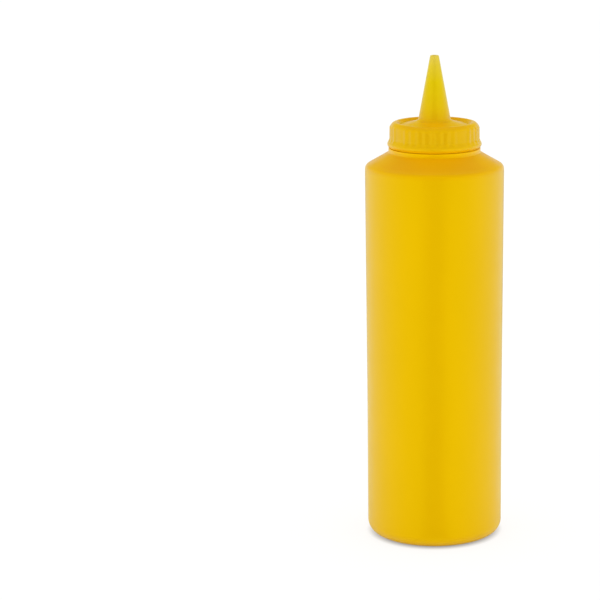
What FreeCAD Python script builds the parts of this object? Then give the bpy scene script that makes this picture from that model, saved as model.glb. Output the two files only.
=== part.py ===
import FreeCAD, Part
import math
import os

# A squeeze bottle for condiments, 750 ml: a tall round body, blow-moulded in soft plastic, and a
# screw cap moulded in one piece with its pouring cone. Millimetres, +Z up, the axis of the bottle
# on Z and its standing ring on Z = 0.

# Body: a straight cylinder that widens a little towards the shoulder.
BODY_RADIUS = 35.8
BODY_WIDENING = 0.55  # how much wider, in radius, the body is at the shoulder
WIDENING_START = 79.0  # height at which the wall starts to lean outwards
SHOULDER_HEIGHT = 198.8  # where the wall and the cone of the shoulder meet, before rounding
SHOULDER_SLOPE = 30.0  # degrees from the horizontal
SHOULDER_ROUNDING = 2.6

# Base: a flat standing ring inside the rounded heel, and a shallow push-up within it.
HEEL_ROUNDING = 6.6
STANDING_RING_WIDTH = 2.2
PUSH_UP_HEIGHT = 2.4
PUSH_UP_RUN = 4.0  # how far inwards the push-up takes to rise

# Collar and neck: the step that the cap sits down to, and the finish that the cap screws on to.
NECK_RADIUS = 21.2
NECK_HEIGHT = 10.6  # from the top of the collar to the mouth
COLLAR_STEP = 2.85  # how far the collar stands out from the neck
COLLAR_HEIGHT = 2.3
COLLAR_FOOT_ROUNDING = 0.8
COLLAR_CHAMFER = 0.3

# Cap: a skirt over the neck, a bead round its lower edge, and a top that is sunk inside a rounded
# rim and rises again towards the pouring cone.
CAP_GAP = 0.15  # between the top of the collar and the lower edge of the cap
NECK_CLEARANCE = 0.3  # between the neck and the inside of the skirt
SKIRT_WALL = 1.65
SKIRT_DRAFT = 0.1  # how much narrower, in radius, the skirt is at the rim
CAP_FOOT_PROUD = 0.35  # how far the lower edge of the cap stands out from the skirt
BEAD_PROUD = 1.9  # the crest of the bead, before rounding
BEAD_CREST_HEIGHT = 1.8  # above the lower edge of the cap
BEAD_HEIGHT = 4.5
BEAD_ROUNDING = 1.6
TOP_WALL = 1.25  # under the lowest part of the top, next to the rim
RIM_ROUNDING = 2.9
RIM_WIDTH = 0.6  # flat crest of the rim, inside its rounding
RIM_EDGE_ROUNDING = 0.8
DISH_DEPTH = 1.65  # from the crest of the rim down to the lowest part of the top
DISH_WALL_RUN = 1.3
TOP_RISE = 2.5  # how far the top rises again from there to the foot of the pouring cone

# Pouring cone.
CONE_HEIGHT = 33.8  # from its foot to the tip
CONE_TIP_RADIUS = 2.25
CONE_HALF_ANGLE = 10.55
CONE_FOOT_ROUNDING = 2.0
CONE_TIP_ROUNDING = 0.5
TIP_BORE_RADIUS = 1.15
CONE_FOOT_WALL = 1.5  # wall at the foot of the cone, measured level

# Grip ribs: groups of upright half-round ribs, with a smooth panel between two groups.
RIB_GROUPS = 4
RIBS_PER_GROUP = 8
RIB_PITCH = 9.4  # degrees between two ribs of a group
GROUP_TURN = -7.0  # degrees from the front, to the right, of the middle of the first group
RIB_WIDTH = 2.1
RIB_PROUD = 0.45
RIB_ROOT = 0.6  # how deep a rib is set into the skirt
RIB_END_RUN = 0.6  # height over which a rib slopes back to the skirt at each end
RIB_FOOT_DROP = 0.6  # how far the ribs run down over the slope of the bead
RIB_TOP_DROP = 2.6  # from the crest of the rim down to the upper end of the ribs

FOOT_OF_AXIS = FreeCAD.Vector(0, 0, 0)
AXIS = FreeCAD.Vector(0, 0, 1)

# Heights and radii that follow from the sizes above.
shoulder_radius = BODY_RADIUS + BODY_WIDENING
collar_radius = NECK_RADIUS + COLLAR_STEP
shoulder_run = shoulder_radius - collar_radius
collar_foot = SHOULDER_HEIGHT + shoulder_run * math.tan(math.radians(SHOULDER_SLOPE))
collar_top = collar_foot + COLLAR_HEIGHT
neck_top = collar_top + NECK_HEIGHT
cap_foot = collar_top + CAP_GAP
cavity_radius = NECK_RADIUS + NECK_CLEARANCE
skirt_radius = cavity_radius + SKIRT_WALL
rim_radius = skirt_radius - SKIRT_DRAFT
dish_floor = neck_top + TOP_WALL
rim_top = dish_floor + DISH_DEPTH
cone_foot = dish_floor + TOP_RISE


def rounded_corner(before, corner, after, radius):
    """Start, middle and end of the arc that rounds one corner of an outline."""
    back = (before - corner).normalize()
    onward = (after - corner).normalize()
    half_angle = back.getAngle(onward) / 2
    reach = radius / math.tan(half_angle)
    inward = (back + onward).normalize()
    centre = corner + inward * (radius / math.sin(half_angle))
    return corner + back * reach, centre - inward * radius, corner + onward * reach


def turned(outline):
    """Solid turned about Z from the corners of a closed outline: (radius, height, rounding) each."""
    corners = [FreeCAD.Vector(radius, 0, height) for radius, height, _ in outline]
    edges = []
    starts = []
    ends = []
    for index, (_, _, rounding) in enumerate(outline):
        start = end = corners[index]
        if rounding:
            following = corners[(index + 1) % len(corners)]
            start, middle, end = rounded_corner(corners[index - 1], start, following, rounding)
            edges.append(Part.Arc(start, middle, end).toShape())
        starts.append(start)
        ends.append(end)
    for end, next_start in zip(ends, starts[1:] + starts[:1]):
        edges.append(Part.LineSegment(end, next_start).toShape())
    wire = Part.Wire(Part.__sortEdges__(edges))
    return Part.Face(wire).revolve(FOOT_OF_AXIS, AXIS, 360)


def bottle():
    """Body, shoulder, collar and neck, shut inside as nothing of the inside can be seen."""
    ring_inner = BODY_RADIUS - HEEL_ROUNDING - STANDING_RING_WIDTH
    return turned([
        (0, PUSH_UP_HEIGHT, 0),
        (ring_inner - PUSH_UP_RUN, PUSH_UP_HEIGHT, 0),
        (ring_inner, 0, 0),
        (BODY_RADIUS, 0, HEEL_ROUNDING),
        (BODY_RADIUS, WIDENING_START, 0),
        (shoulder_radius, SHOULDER_HEIGHT, SHOULDER_ROUNDING),
        (collar_radius, collar_foot, COLLAR_FOOT_ROUNDING),
        (collar_radius, collar_top - COLLAR_CHAMFER, 0),
        (collar_radius - COLLAR_CHAMFER, collar_top, 0),
        (NECK_RADIUS, collar_top, 0),
        (NECK_RADIUS, neck_top, 0),
        (0, neck_top, 0),
    ])


def cap_shell():
    """Skirt, bead, rim and dished top, turned in one outline with the pouring cone and its passage."""
    crest_inner = rim_radius - RIM_ROUNDING - RIM_WIDTH
    cone_top = cone_foot + CONE_HEIGHT
    cone_spread = math.tan(math.radians(CONE_HALF_ANGLE))
    cone_foot_radius = CONE_TIP_RADIUS + CONE_HEIGHT * cone_spread
    return turned([
        (cavity_radius, cap_foot, 0),
        (skirt_radius + CAP_FOOT_PROUD, cap_foot, 0),
        (skirt_radius + BEAD_PROUD, cap_foot + BEAD_CREST_HEIGHT, BEAD_ROUNDING),
        (skirt_radius, cap_foot + BEAD_HEIGHT, 0),
        (rim_radius, rim_top, RIM_ROUNDING),
        (crest_inner, rim_top, RIM_EDGE_ROUNDING),
        (crest_inner - DISH_WALL_RUN, dish_floor, 0),
        (cone_foot_radius, cone_foot, CONE_FOOT_ROUNDING),
        (CONE_TIP_RADIUS, cone_top, CONE_TIP_ROUNDING),
        (TIP_BORE_RADIUS, cone_top, 0),
        (cone_foot_radius - CONE_FOOT_WALL, neck_top, 0),
        (cavity_radius, neck_top, 0),
    ])


def grip_rib():
    """The rib that faces the front: a half-round bar cut to the outline it has from the side."""
    crest_radius = skirt_radius + RIB_PROUD
    rib_foot = cap_foot + BEAD_HEIGHT - RIB_FOOT_DROP
    rib_top = rim_top - RIB_TOP_DROP
    side_outline = turned([
        (skirt_radius - RIB_ROOT, rib_foot, 0),
        (skirt_radius, rib_foot, 0),
        (crest_radius, rib_foot + RIB_END_RUN, 0),
        (crest_radius - SKIRT_DRAFT, rib_top - RIB_END_RUN, 0),
        (rim_radius - SKIRT_DRAFT, rib_top, 0),
        (skirt_radius - RIB_ROOT, rib_top, 0),
    ])
    bar_radius = (RIB_WIDTH ** 2 / 4 + RIB_PROUD ** 2) / (2 * RIB_PROUD)
    bar_foot = FreeCAD.Vector(0, bar_radius - crest_radius, rib_foot)
    return Part.makeCylinder(bar_radius, rib_top - rib_foot, bar_foot).common(side_outline)


def grip_ribs():
    """The front rib repeated in groups round the skirt."""
    ribs = []
    for group in range(RIB_GROUPS):
        group_middle = GROUP_TURN + group * 360 / RIB_GROUPS
        for number in range(RIBS_PER_GROUP):
            rib = grip_rib()
            from_middle = (number - (RIBS_PER_GROUP - 1) / 2) * RIB_PITCH
            rib.rotate(FOOT_OF_AXIS, AXIS, group_middle + from_middle)
            ribs.append(rib)
    return ribs


def cap():
    """The cap is one moulding: its shell with the ribs run into it."""
    return cap_shell().fuse(grip_ribs())


os.makedirs("parts", exist_ok=True)
for name, piece in (("bottle", bottle()), ("cap", cap())):
    piece.exportStep("parts/" + name + ".step")
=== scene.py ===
import math

import bmesh
import bpy
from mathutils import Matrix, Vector


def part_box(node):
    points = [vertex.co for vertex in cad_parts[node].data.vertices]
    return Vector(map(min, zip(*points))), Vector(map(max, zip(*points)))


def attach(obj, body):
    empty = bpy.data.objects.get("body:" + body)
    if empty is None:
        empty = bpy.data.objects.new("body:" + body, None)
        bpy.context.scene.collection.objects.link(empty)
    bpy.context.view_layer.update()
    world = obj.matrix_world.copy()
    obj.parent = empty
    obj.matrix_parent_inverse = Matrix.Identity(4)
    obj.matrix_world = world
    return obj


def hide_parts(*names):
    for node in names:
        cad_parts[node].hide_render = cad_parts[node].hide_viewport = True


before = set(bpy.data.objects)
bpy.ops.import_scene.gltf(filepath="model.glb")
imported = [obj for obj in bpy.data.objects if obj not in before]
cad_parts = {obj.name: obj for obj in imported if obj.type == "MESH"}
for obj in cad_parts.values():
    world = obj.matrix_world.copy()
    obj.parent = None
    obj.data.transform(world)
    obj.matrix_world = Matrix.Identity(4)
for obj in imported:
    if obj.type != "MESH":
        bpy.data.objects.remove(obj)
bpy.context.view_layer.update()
MM = 0.001  # sizes of the bottle are written in millimetres, and the scene is in metres

# ---------------------------------------------------------------------------------------------
# Bottle. The real one is blown from low-density polyethylene, dyed yellow all through: a tube of
# soft plastic is shut in a two-part mould and blown out against it, so every edge is rounded and
# the surface has the satin of the mould. It stands on the ring inside its rounded heel.
PUSH_UP_RADIUS = 23.0
PUSH_UP_HEIGHT = 2.4
PUSH_UP_ROUNDING = 2.0
STANDING_RING_RADIUS = 27.0  # inner edge of the ring that it stands on
STANDING_RING_ROUNDING = 0.8
BODY_RADIUS = 35.8
HEEL_ROUNDING = 6.6
WIDENING_START = 79.0  # height at which the wall starts to lean outwards
SHOULDER_RADIUS = 36.35
SHOULDER_HEIGHT = 198.8
SHOULDER_ROUNDING = 2.6
COLLAR_RADIUS = 24.05
COLLAR_FOOT = 205.9
COLLAR_FOOT_ROUNDING = 0.8
COLLAR_TOP = 208.2
COLLAR_TOP_ROUNDING = 0.35
NECK_RADIUS = 21.2
NECK_ROUNDING = 0.4  # at its foot and at its mouth
BOTTLE_SIDES = 180
BOTTLE_ROW_SPACING = 4.0  # longest stretch between two rows of points on a straight wall
CHORD_ANGLE = 5.0  # degrees of arc between two rows of a rounding
HALVINGS = 8  # more than the longest wall needs to come down to its row spacing
SAME_PLACE = 0.01  # a point this near to a place, or to the axis, lies on it
WELD_WIDTH = 0.002
SMOOTH_ANGLE = 40  # degrees between two faces, above which their edge is shaded sharp


def only(piece):
    """Make a piece the one thing that the next operators work on."""
    bpy.ops.object.select_all(action="DESELECT")
    piece.select_set(True)
    bpy.context.view_layer.objects.active = piece


def select_points(piece, wanted):
    """In edit mode, select the points whose place, in millimetres, is wanted."""
    bpy.ops.mesh.select_mode(type="VERT")
    bpy.ops.mesh.select_all(action="DESELECT")
    mesh = bmesh.from_edit_mesh(piece.data)
    for point in mesh.verts:
        point.select = wanted(point.co / MM)
    mesh.select_flush_mode()
    bmesh.update_edit_mesh(piece.data)


def select_long_edges(piece, longest):
    """In edit mode, select the edges longer than so many millimetres."""
    bpy.ops.mesh.select_all(action="DESELECT")
    bpy.ops.mesh.select_mode(type="EDGE")
    mesh = bmesh.from_edit_mesh(piece.data)
    for edge in mesh.edges:
        edge.select = edge.calc_length() > longest * MM
    bmesh.update_edit_mesh(piece.data)


def draw_outline(name, corners, row_spacing):
    """Wire through the corners of an outline, (radius, height, rounding) each in millimetres."""
    bpy.ops.object.select_all(action="DESELECT")
    bpy.ops.mesh.primitive_circle_add(vertices=len(corners), fill_type="NOTHING")
    wire = bpy.context.object
    wire.name = name
    places = [Vector((radius, 0, height)) for radius, height, _ in corners]
    for point, place in zip(wire.data.vertices, places):
        point.co = place * MM
    bpy.ops.object.mode_set(mode="EDIT")
    for index, (_, _, rounding) in enumerate(corners):
        if rounding:
            corner = places[index]
            back = places[index - 1] - corner
            onward = places[(index + 1) % len(places)] - corner
            between = back.angle(onward)
            select_points(wire, lambda place: (place - corner).length < SAME_PLACE)
            bpy.ops.mesh.bevel(
                offset=rounding / math.tan(between / 2) * MM,
                segments=math.ceil((180 - math.degrees(between)) / CHORD_ANGLE),
                affect="VERTICES",
            )
    for _ in range(HALVINGS):
        select_long_edges(wire, row_spacing)
        bpy.ops.mesh.subdivide(number_cuts=1)
    return wire


def finish_turning(piece):
    """Weld points within the weld width, face the piece outwards and shade it smooth."""
    bpy.ops.mesh.select_all(action="SELECT")
    bpy.ops.mesh.remove_doubles(threshold=WELD_WIDTH * MM)
    bpy.ops.mesh.normals_make_consistent(inside=False)
    bpy.ops.object.mode_set(mode="OBJECT")
    only(piece)
    bpy.ops.object.shade_smooth_by_angle(angle=math.radians(SMOOTH_ANGLE))


_, bottle_high_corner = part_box("bottle")
neck_top = bottle_high_corner.z / MM
bottle = draw_outline("squeeze_bottle", [
    (0, PUSH_UP_HEIGHT, 0),
    (PUSH_UP_RADIUS, PUSH_UP_HEIGHT, PUSH_UP_ROUNDING),
    (STANDING_RING_RADIUS, 0, STANDING_RING_ROUNDING),
    (BODY_RADIUS, 0, HEEL_ROUNDING),
    (BODY_RADIUS, WIDENING_START, 0),
    (SHOULDER_RADIUS, SHOULDER_HEIGHT, SHOULDER_ROUNDING),
    (COLLAR_RADIUS, COLLAR_FOOT, COLLAR_FOOT_ROUNDING),
    (COLLAR_RADIUS, COLLAR_TOP, COLLAR_TOP_ROUNDING),
    (NECK_RADIUS, COLLAR_TOP, NECK_ROUNDING),
    (NECK_RADIUS, neck_top, NECK_ROUNDING),
    (0, neck_top, 0),
], BOTTLE_ROW_SPACING)

# The outline's closing edge lies on the axis, where it would turn into nothing.
select_points(bottle, lambda place: place.x < SAME_PLACE)
bpy.ops.mesh.delete(type="EDGE_FACE")
bpy.ops.mesh.select_all(action="SELECT")
bpy.ops.mesh.spin(steps=BOTTLE_SIDES, angle=math.tau, center=(0, 0, 0), axis=(0, 0, 1))
finish_turning(bottle)


def linear(code):
    """Linear colour of an sRGB hex code."""
    parts = [int(code[start:start + 2], 16) / 255 for start in (1, 3, 5)]
    return [p / 12.92 if p <= 0.04045 else ((p + 0.055) / 1.055) ** 2.4 for p in parts] + [1]


def add_node(tree, kind, settings, links):
    """Add a node; settings and links name its properties and sockets, or give a socket's number."""
    node = tree.nodes.new(kind)
    for name, value in settings.items():
        if name == "stops":
            band = node.color_ramp.elements
            band[0].position, band[0].color = value[0]
            band[1].position, band[1].color = value[-1]
            for position, colour in value[1:-1]:
                band.new(position).color = colour
        elif isinstance(name, str) and hasattr(node, name):
            setattr(node, name, value)
        else:
            node.inputs[name].default_value = value
    for name, source in links.items():
        tree.links.new(source, node.inputs[name])
    return node


def new_material(name):
    """Empty material with its node tree."""
    material = bpy.data.materials.new(name)
    material.use_nodes = True
    material.node_tree.nodes.clear()
    return material, material.node_tree


# Blown low-density polyethylene. The dye goes right through, so it is one deep yellow. Its colour
# holds painted shade that deepens the shoulder and painted light that brightens the collar.
# It is satin, clouded here and there, with soft streaks drawn out upwards as the tube of plastic
# was, and a wall that isn't quite even. The sand-blasted mould leaves a grain, about 0.4 mm wide
# in truth and drawn wider so that it shows. Where the two halves of the mould meet, in the plane
# of X and Z, a faint line stands out, which under the base is the pinched seam.
BOTTLE_PAINTED_SHADING_FOOT = 190.0  # the colour changes between these two heights
BOTTLE_PAINTED_SHADING_TOP = 210.0
# The yellow, with painted shade deepening the shoulder and painted light brightening the collar.
BOTTLE_PAINTED_SHADING = [
    (190.0, "#F1BC00"),
    (196.0, "#F1BB00"),
    (198.4, "#F0B500"),
    (201.0, "#EFAB00"),
    (205.6, "#EFAC00"),
    (206.8, "#FBC000"),
    (208.0, "#FFC800"),
]
NOISE_LOW = 0.2  # noise seldom leaves this range, which is spread over each range below
NOISE_HIGH = 0.8
STREAK_WIDTH = 25.0
STREAK_SQUEEZE = 0.3  # scale of the pattern along Z, which draws the streaks out upwards
STREAK_CONTRAST = 0.025
CLOUD_WIDTH = 8.0
BOTTLE_GLOSSIEST = 0.285  # roughness; glossier patches left dark specks in the render
BOTTLE_DULLEST = 0.375
WAVE_WIDTH = 30.0
WAVE_HEIGHT = 0.06
GRAIN_WIDTH = 0.9
GRAIN_HEIGHT = 0.005
SEAM_HEIGHT = 0.06
SEAM_CREST = 0.1  # half its width on top
SEAM_FOOT = 0.5  # half its width where it leaves the wall

blown_plastic, tree = new_material("blown_yellow_polyethylene")
place = add_node(tree, "ShaderNodeTexCoord", {}, {}).outputs["Object"]
axes = add_node(tree, "ShaderNodeSeparateXYZ", {}, {"Vector": place}).outputs
level = add_node(tree, "ShaderNodeMapRange", {
    "From Min": BOTTLE_PAINTED_SHADING_FOOT * MM, "From Max": BOTTLE_PAINTED_SHADING_TOP * MM,
}, {"Value": axes["Z"]})
# Yellow with the painted shade at the shoulder and painted light at the collar, by height.
yellow_with_painted_shading = add_node(tree, "ShaderNodeValToRGB", {"stops": [
    ((height - BOTTLE_PAINTED_SHADING_FOOT) / (BOTTLE_PAINTED_SHADING_TOP - BOTTLE_PAINTED_SHADING_FOOT), linear(code))
    for height, code in BOTTLE_PAINTED_SHADING
]}, {"Fac": level.outputs["Result"]})
drawn_out = add_node(tree, "ShaderNodeMapping", {
    "Scale": (1, 1, STREAK_SQUEEZE)}, {"Vector": place})
streaks = add_node(tree, "ShaderNodeTexNoise", {
    "Scale": 1 / (STREAK_WIDTH * MM), "Detail": 2}, {"Vector": drawn_out.outputs["Vector"]})
brightness = add_node(tree, "ShaderNodeMapRange", {
    "From Min": NOISE_LOW, "From Max": NOISE_HIGH,
    "To Min": 1 - STREAK_CONTRAST, "To Max": 1 + STREAK_CONTRAST,
}, {"Value": streaks.outputs["Fac"]})
colour = add_node(tree, "ShaderNodeHueSaturation", {}, {
    "Color": yellow_with_painted_shading.outputs["Color"], "Value": brightness.outputs["Result"]})
clouds = add_node(tree, "ShaderNodeTexNoise", {
    "Scale": 1 / (CLOUD_WIDTH * MM), "Detail": 2}, {"Vector": place})
gloss = add_node(tree, "ShaderNodeMapRange", {
    "From Min": NOISE_LOW, "From Max": NOISE_HIGH,
    "To Min": BOTTLE_GLOSSIEST, "To Max": BOTTLE_DULLEST,
}, {"Value": clouds.outputs["Fac"]})
waves = add_node(tree, "ShaderNodeTexNoise", {
    "Scale": 1 / (WAVE_WIDTH * MM), "Detail": 1}, {"Vector": place})
wave_height = add_node(tree, "ShaderNodeMath", {
    "operation": "MULTIPLY", 1: WAVE_HEIGHT * MM}, {0: waves.outputs["Fac"]})
grain = add_node(tree, "ShaderNodeTexNoise", {
    "Scale": 1 / (GRAIN_WIDTH * MM), "Detail": 1}, {"Vector": place})
wavy_grain = add_node(tree, "ShaderNodeMath", {
    "operation": "MULTIPLY_ADD", 1: GRAIN_HEIGHT * MM,
}, {0: grain.outputs["Fac"], 2: wave_height.outputs[0]})
off_seam = add_node(tree, "ShaderNodeMath", {"operation": "ABSOLUTE"}, {0: axes["Y"]})
seam = add_node(tree, "ShaderNodeMapRange", {
    "interpolation_type": "SMOOTHSTEP",
    "From Min": SEAM_CREST * MM, "From Max": SEAM_FOOT * MM,
    "To Min": SEAM_HEIGHT * MM, "To Max": 0.0,
}, {"Value": off_seam.outputs[0]})
relief = add_node(tree, "ShaderNodeMath", {"operation": "ADD"}, {
    0: wavy_grain.outputs[0], 1: seam.outputs["Result"]})
bump = add_node(tree, "ShaderNodeBump", {"Distance": 1.0}, {"Height": relief.outputs[0]})
shader = add_node(tree, "ShaderNodeBsdfPrincipled", {
    "IOR": 1.5,
    "Specular IOR Level": 1.0,
    "Specular Tint": linear("#FFFA08"),
}, {
    "Base Color": colour.outputs["Color"],
    "Roughness": gloss.outputs["Result"],
    "Normal": bump.outputs["Normal"],
})
add_node(tree, "ShaderNodeOutputMaterial", {}, {"Surface": shader.outputs["BSDF"]})
bottle.data.materials.append(blown_plastic)
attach(bottle, "root")
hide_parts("bottle")

# ---------------------------------------------------------------------------------------------
# Cap. One injection moulding in a harder polyethylene: a skirt over the neck with grip ribs in
# four groups, a bead round its lower edge, a rounded rim round the sunk top, and the pouring cone
# with its passage. It screws down over the neck until it nearly meets the collar.
CAP_FOOT = 208.35
CAP_FOOT_PROUD = 0.35  # how far the lower edge stands out from the skirt
CAP_FOOT_ROUNDING = 0.3
CAVITY_RADIUS = 21.5
SKIRT_RADIUS = 23.15
BEAD_PROUD = 1.9
BEAD_CREST_HEIGHT = 1.8  # above the lower edge
BEAD_ROUNDING = 1.6
BEAD_HEIGHT = 4.5
BEAD_TOP_ROUNDING = 1.0
RIM_RADIUS = 23.05
RIM_HEIGHT = 221.7
RIM_ROUNDING = 2.9
RIM_INSET = 3.5  # from the rim's radius in to the inner edge of its crest
RIM_EDGE_ROUNDING = 0.8
DISH_INSET = 4.8  # from the rim's radius in to the lowest part of the top
DISH_FLOOR = 220.05
DISH_ROUNDING = 0.5
CONE_FOOT = 222.55
CONE_FOOT_RADIUS = 8.54
CONE_FOOT_ROUNDING = 2.0
CONE_FOOT_WALL = 1.5
TIP_RADIUS = 2.25
TIP_ROUNDING = 0.5
BORE_RADIUS = 1.15
BORE_ROUNDING = 0.2
CAP_ROW_SPACING = 1.5
RIB_GROUPS = 4
RIBS_PER_GROUP = 8
RIB_PITCH = 9.4  # degrees between two ribs of a group
FRONT = -90  # degrees from +X
GROUP_TURN = -7.0  # degrees from the front to the middle of the first group
RIB_PROUD = 0.4
RIB_REACH = 1.8  # how far the flanks of a rib run out from its crest
RIB_FOOT = 212.7  # lower and upper end of the crest
RIB_TOP = 218.9
RIB_CREST = 0.05  # half the width of the crest
SKIRT_DEPTH = 0.5  # points within this of the skirt's radius are on its outside
RIB_STEPS = 10  # faces across one rib, and across the smooth panel between two groups
PANEL_STEPS = 12

_, cap_high_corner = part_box("cap")
tip_height = cap_high_corner.z / MM


def turn_strip(name, degrees, steps):
    """Strip of the cap's outline, turned through some degrees with +X in its middle."""
    strip = draw_outline(name, [
        (CAVITY_RADIUS, CAP_FOOT, CAP_FOOT_ROUNDING),
        (SKIRT_RADIUS + CAP_FOOT_PROUD, CAP_FOOT, CAP_FOOT_ROUNDING),
        (SKIRT_RADIUS + BEAD_PROUD, CAP_FOOT + BEAD_CREST_HEIGHT, BEAD_ROUNDING),
        (SKIRT_RADIUS, CAP_FOOT + BEAD_HEIGHT, BEAD_TOP_ROUNDING),
        (RIM_RADIUS, RIM_HEIGHT, RIM_ROUNDING),
        (RIM_RADIUS - RIM_INSET, RIM_HEIGHT, RIM_EDGE_ROUNDING),
        (RIM_RADIUS - DISH_INSET, DISH_FLOOR, DISH_ROUNDING),
        (CONE_FOOT_RADIUS, CONE_FOOT, CONE_FOOT_ROUNDING),
        (TIP_RADIUS, tip_height, TIP_ROUNDING),
        (BORE_RADIUS, tip_height, BORE_ROUNDING),
        (CONE_FOOT_RADIUS - CONE_FOOT_WALL, neck_top, 0),
        (CAVITY_RADIUS, neck_top, 0),
    ], CAP_ROW_SPACING)
    bpy.ops.object.mode_set(mode="OBJECT")
    strip.rotation_euler.z = math.radians(degrees / 2)
    only(strip)
    bpy.ops.object.transform_apply(rotation=True)
    bpy.ops.object.mode_set(mode="EDIT")
    bpy.ops.mesh.select_all(action="SELECT")
    bpy.ops.mesh.spin(steps=steps, angle=math.radians(degrees), center=(0, 0, 0), axis=(0, 0, 1))
    return strip


# The rib is pulled out of the middle of its strip. How far this pull reaches differs a little from
# run to run. Where it moves a long edge of the strip, by up to 0.02 mm, the seam to the next strip
# misses the weld and stays open by as much.
ribbed = turn_strip("cap_rib", RIB_PITCH, RIB_STEPS)
select_points(ribbed, lambda place: RIB_FOOT < place.z < RIB_TOP
              and abs(place.y) < RIB_CREST and place.x > SKIRT_RADIUS - SKIRT_DEPTH)
bpy.ops.transform.resize(
    value=(1 + RIB_PROUD / SKIRT_RADIUS, 1, 1), center_override=(0, 0, 0),
    use_proportional_edit=True, proportional_edit_falloff="SMOOTH",
    proportional_size=RIB_REACH * MM, use_proportional_connected=True)
bpy.ops.object.mode_set(mode="OBJECT")
panel = turn_strip("cap_panel", 360 / RIB_GROUPS - RIBS_PER_GROUP * RIB_PITCH, PANEL_STEPS)
bpy.ops.object.mode_set(mode="OBJECT")

# Copies of the two strips, side by side all the way round, are joined into one cap.
strips = []
for group in range(RIB_GROUPS):
    middle = FRONT + GROUP_TURN + group * 360 / RIB_GROUPS
    turns = [middle + (number - (RIBS_PER_GROUP - 1) / 2) * RIB_PITCH
             for number in range(RIBS_PER_GROUP)]
    for original, turn in [(ribbed, t) for t in turns] + [(panel, middle + 180 / RIB_GROUPS)]:
        strip = original.copy()
        strip.data = original.data.copy()
        strip.rotation_euler.z = math.radians(turn)
        bpy.context.collection.objects.link(strip)
        strips.append(strip)
for original in (ribbed, panel):
    bpy.data.objects.remove(original)
only(strips[0])
for strip in strips:
    strip.select_set(True)
bpy.ops.object.join()
cap = bpy.context.object
cap.name = "pouring_cap"
bpy.ops.object.transform_apply(rotation=True)
bpy.ops.object.mode_set(mode="EDIT")
finish_turning(cap)

# Injection-moulded polyethylene, a little glossier than the bottle, with smaller clouds in its
# gloss. Its colour holds painted light that brightens the lower edge, painted shade that deepens
# the rim round the sunk top, and painted light that makes the pouring cone paler and greener
# towards its tip, standing in for light that comes through its thin wall. The plastic that flowed
# up into the cone leaves faint streaks, and the mould a fine grain, drawn about twice as wide as it
# is so that it shows.
CAP_PAINTED_SHADING_FOOT = 208.0
CAP_PAINTED_SHADING_TOP = 258.0
# The yellow, with painted light at the lower edge, painted shade at the rim and painted light up
# the cone.
CAP_PAINTED_SHADING = [
    (208.0, "#FFC800"),
    (209.5, "#FCC500"),
    (211.0, "#ECB800"),
    (220.0, "#ECB600"),
    (221.5, "#EFB300"),
    (225.0, "#ECBE00"),
    (230.5, "#EAC300"),
    (238.0, "#E8C600"),
    (243.0, "#E7C800"),
    (251.0, "#E7CA30"),
    (256.5, "#E7CC54"),
]
FLOW_STREAK_WIDTH = 4.0
FLOW_STREAK_SQUEEZE = 0.25
FLOW_STREAK_CONTRAST = 0.015
CAP_CLOUD_WIDTH = 5.0
CAP_GLOSSIEST = 0.28
CAP_DULLEST = 0.34
CAP_GRAIN_WIDTH = 0.8
CAP_GRAIN_HEIGHT = 0.003

moulded_plastic, tree = new_material("moulded_yellow_polyethylene")
place = add_node(tree, "ShaderNodeTexCoord", {}, {}).outputs["Object"]
axes = add_node(tree, "ShaderNodeSeparateXYZ", {}, {"Vector": place}).outputs
level = add_node(tree, "ShaderNodeMapRange", {
    "From Min": CAP_PAINTED_SHADING_FOOT * MM, "From Max": CAP_PAINTED_SHADING_TOP * MM,
}, {"Value": axes["Z"]})
# Yellow with the painted light and shade of the table above, by height.
yellow_with_painted_shading = add_node(tree, "ShaderNodeValToRGB", {"stops": [
    ((height - CAP_PAINTED_SHADING_FOOT) / (CAP_PAINTED_SHADING_TOP - CAP_PAINTED_SHADING_FOOT), linear(code))
    for height, code in CAP_PAINTED_SHADING
]}, {"Fac": level.outputs["Result"]})
drawn_out = add_node(tree, "ShaderNodeMapping", {
    "Scale": (1, 1, FLOW_STREAK_SQUEEZE)}, {"Vector": place})
streaks = add_node(tree, "ShaderNodeTexNoise", {
    "Scale": 1 / (FLOW_STREAK_WIDTH * MM), "Detail": 2}, {"Vector": drawn_out.outputs["Vector"]})
brightness = add_node(tree, "ShaderNodeMapRange", {
    "From Min": NOISE_LOW, "From Max": NOISE_HIGH,
    "To Min": 1 - FLOW_STREAK_CONTRAST, "To Max": 1 + FLOW_STREAK_CONTRAST,
}, {"Value": streaks.outputs["Fac"]})
colour = add_node(tree, "ShaderNodeHueSaturation", {}, {
    "Color": yellow_with_painted_shading.outputs["Color"], "Value": brightness.outputs["Result"]})
clouds = add_node(tree, "ShaderNodeTexNoise", {
    "Scale": 1 / (CAP_CLOUD_WIDTH * MM), "Detail": 2}, {"Vector": place})
gloss = add_node(tree, "ShaderNodeMapRange", {
    "From Min": NOISE_LOW, "From Max": NOISE_HIGH,
    "To Min": CAP_GLOSSIEST, "To Max": CAP_DULLEST,
}, {"Value": clouds.outputs["Fac"]})
grain = add_node(tree, "ShaderNodeTexNoise", {
    "Scale": 1 / (CAP_GRAIN_WIDTH * MM), "Detail": 1}, {"Vector": place})
relief = add_node(tree, "ShaderNodeMath", {
    "operation": "MULTIPLY", 1: CAP_GRAIN_HEIGHT * MM}, {0: grain.outputs["Fac"]})
bump = add_node(tree, "ShaderNodeBump", {"Distance": 1.0}, {"Height": relief.outputs[0]})
shader = add_node(tree, "ShaderNodeBsdfPrincipled", {
    "IOR": 1.5,
    "Specular IOR Level": 1.0,
    "Specular Tint": linear("#FFFA48"),
}, {
    "Base Color": colour.outputs["Color"],
    "Roughness": gloss.outputs["Result"],
    "Normal": bump.outputs["Normal"],
})
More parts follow.
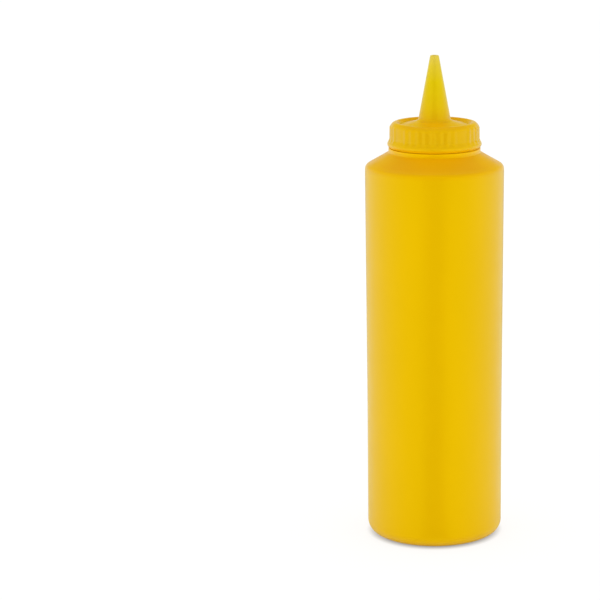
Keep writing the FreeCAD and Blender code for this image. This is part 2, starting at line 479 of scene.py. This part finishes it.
add_node(tree, "ShaderNodeOutputMaterial", {}, {"Surface": shader.outputs["BSDF"]})
cap.data.materials.append(moulded_plastic)
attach(cap, "root")
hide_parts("cap")

# ---------------------------------------------------------------------------------------------
# Floor, in metres as the rest of the stage is. White paint. The camera sees it darker in itself,
# but lit up by a glow, so that it is white and keeps the shadow. The glow is weaker in a ring under
# the heel of the bottle, a painted contact shadow. Shiny surfaces mirror it with less red, which
# holds back what the plastic mirrors.
FLOOR_SIZE = 12
FLOOR_LIT = (0.95, 0.95, 0.95, 1)
FLOOR_MIRRORED = (0.78, 0.95, 0.95, 1)
FLOOR_SEEN = (0.2, 0.2, 0.2, 1)
# Painted contact shadow: the glow is this weak out to the first reach from the bottle's axis, and
# full from the second.
GLOW_IN_PAINTED_SHADOW = 0.36  # as far as this from the axis of the bottle
HEEL_REACH = 0.0305
GLOW_OPEN = 0.83  # from here outwards
OPEN_REACH = 0.0375

bpy.ops.object.select_all(action="DESELECT")
bpy.ops.mesh.primitive_plane_add(size=FLOOR_SIZE, location=(0, 0, 0))
floor = bpy.context.object
floor.name = "studio_floor"
floor_paint, tree = new_material("white_floor_paint")
ray = add_node(tree, "ShaderNodeLightPath", {}, {}).outputs
mirrored = add_node(tree, "ShaderNodeMix", {
    "data_type": "RGBA", 6: FLOOR_LIT, 7: FLOOR_MIRRORED}, {"Factor": ray["Is Glossy Ray"]})
seen = add_node(tree, "ShaderNodeMix", {
    "data_type": "RGBA", 7: FLOOR_SEEN}, {"Factor": ray["Is Camera Ray"], 6: mirrored.outputs[2]})
paint = add_node(tree, "ShaderNodeBsdfDiffuse", {}, {"Color": seen.outputs[2]})
place = add_node(tree, "ShaderNodeTexCoord", {}, {}).outputs["Object"]
off_axis = add_node(tree, "ShaderNodeVectorMath", {"operation": "LENGTH"}, {0: place})
# Painted contact shadow: the glow weakens near the axis of the bottle, under its heel.
clear = add_node(tree, "ShaderNodeMapRange", {
    "interpolation_type": "SMOOTHSTEP",
    "From Min": HEEL_REACH, "From Max": OPEN_REACH,
    "To Min": GLOW_IN_PAINTED_SHADOW, "To Max": GLOW_OPEN,
}, {"Value": off_axis.outputs["Value"]})
glow = add_node(tree, "ShaderNodeMath", {"operation": "MULTIPLY"}, {
    0: ray["Is Camera Ray"], 1: clear.outputs["Result"]})
lift = add_node(tree, "ShaderNodeEmission", {}, {"Strength": glow.outputs[0]})
both = add_node(tree, "ShaderNodeAddShader", {}, {0: paint.outputs[0], 1: lift.outputs[0]})
add_node(tree, "ShaderNodeOutputMaterial", {}, {"Surface": both.outputs[0]})
floor.data.materials.append(floor_paint)

# Surroundings. They are plain white and light everything evenly. Only what shiny surfaces mirror
# is weaker: nearly white at the horizon, yellower higher up and nearly black overhead. Each stop
# is at the sine of its angle above the horizon.
MIRRORED_STOPS = [
    (0.03, (0.85, 1, 1, 1)),
    (0.16, (0.75, 0.85, 0.85, 1)),
    (0.24, (0.7, 0.75, 0.4, 1)),
    (0.32, (0.8, 0.8, 0.05, 1)),
    (0.55, (0.75, 0.75, 0.0, 1)),
    (0.75, (0.05, 0.05, 0.0, 1)),
]

world = bpy.data.worlds.new("white_studio")
bpy.context.scene.world = world
world.use_nodes = True
world.node_tree.nodes.clear()
tree = world.node_tree
direction = add_node(tree, "ShaderNodeTexCoord", {}, {}).outputs["Generated"]
upward = add_node(tree, "ShaderNodeSeparateXYZ", {}, {"Vector": direction}).outputs["Z"]
dimming = add_node(tree, "ShaderNodeValToRGB", {"stops": MIRRORED_STOPS}, {"Fac": upward})
glossy_ray = add_node(tree, "ShaderNodeLightPath", {}, {}).outputs["Is Glossy Ray"]
white = add_node(tree, "ShaderNodeMix", {
    "data_type": "RGBA", 6: (1, 1, 1, 1)}, {"Factor": glossy_ray, 7: dimming.outputs["Color"]})
backdrop = add_node(tree, "ShaderNodeBackground", {"Strength": 1.0}, {"Color": white.outputs[2]})
add_node(tree, "ShaderNodeOutputWorld", {}, {"Surface": backdrop.outputs[0]})

# Black cards on the floor, one before the bottle and a wider one behind it, that show in
# reflections only and give the plastic a soft dark stripe down its middle. Each spreads out from
# the bottle. The front one goes on into a wider wing that stands up at its far end.
CARD_HEIGHT = 0.001
CARD_NEAR_END = 0.045  # distances from the axis of the bottle
CARD_FAR_END = 1.25
WING_NEAR_END = 1.3
WING_FAR_END = 1.8
WING_UPRIGHT = 1.0
CARD_NEAR_HALF_WIDTH = 0.012
CARD_SPREAD = math.tan(math.radians(15))  # half the width over the distance, at the far end
WING_SPREAD = math.tan(math.radians(22))
BACK_CARD_WIDENING = 1.25

bpy.ops.object.select_all(action="DESELECT")
bpy.ops.mesh.primitive_plane_add(size=1, location=(0, 0, 0))
card = bpy.context.object
card.name = "dark_card"
card_far_half_width = CARD_SPREAD * CARD_FAR_END
for point, (across, ahead) in zip(card.data.vertices, [
        (-CARD_NEAR_HALF_WIDTH, CARD_NEAR_END), (CARD_NEAR_HALF_WIDTH, CARD_NEAR_END),
        (-card_far_half_width, CARD_FAR_END), (card_far_half_width, CARD_FAR_END)]):
    point.co = (across, -ahead, CARD_HEIGHT)
bpy.ops.object.mode_set(mode="EDIT")
bpy.ops.mesh.select_all(action="SELECT")
bpy.ops.mesh.duplicate()
bpy.ops.transform.resize(value=(-BACK_CARD_WIDENING, -1, 1), center_override=(0, 0, 0))
select_points(card, lambda place: place.y * MM < -CARD_FAR_END / 2)
bpy.ops.mesh.select_mode(type="EDGE")
bpy.ops.mesh.extrude_region_move(
    TRANSFORM_OT_translate={"value": (0, CARD_FAR_END - WING_NEAR_END, 0)})
bpy.ops.transform.resize(value=(WING_SPREAD / CARD_SPREAD, 1, 1), center_override=(0, 0, 0))
bpy.ops.mesh.extrude_region_move(
    TRANSFORM_OT_translate={"value": (0, WING_NEAR_END - WING_FAR_END, 0)})
bpy.ops.transform.resize(value=(WING_FAR_END / WING_NEAR_END, 1, 1), center_override=(0, 0, 0))
bpy.ops.mesh.extrude_region_move(TRANSFORM_OT_translate={"value": (0, 0, WING_UPRIGHT)})
bpy.ops.object.mode_set(mode="OBJECT")
card_paint, tree = new_material("black_card")
black = add_node(tree, "ShaderNodeBsdfDiffuse", {"Color": (0.0, 0.0, 0.0, 1)}, {})
add_node(tree, "ShaderNodeOutputMaterial", {}, {"Surface": black.outputs[0]})
card.data.materials.append(card_paint)
card.visible_camera = False
card.visible_diffuse = False
card.visible_shadow = False
card.visible_transmission = False

# Camera. It looks down at the bottle from in front, and the shift sets the bottle to the right.
CAMERA_DISTANCE = 1.2
CAMERA_HEIGHT = 0.39295
CAMERA_TILT = 12.526  # degrees below level
LENS = 139.32
SENSOR_WIDTH = 36
SHIFT_ACROSS = -0.22417
SHIFT_UP = 0.00083

camera_data = bpy.data.cameras.new("camera")
camera_data.sensor_width = SENSOR_WIDTH
camera_data.lens = LENS
camera_data.shift_x = SHIFT_ACROSS
camera_data.shift_y = SHIFT_UP
camera = bpy.data.objects.new("camera", camera_data)
bpy.context.collection.objects.link(camera)
camera.location = (0, -CAMERA_DISTANCE, CAMERA_HEIGHT)
camera.rotation_euler = (math.radians(90 - CAMERA_TILT), 0, 0)
bpy.context.scene.camera = camera
bpy.context.scene.view_settings.view_transform = "Standard"
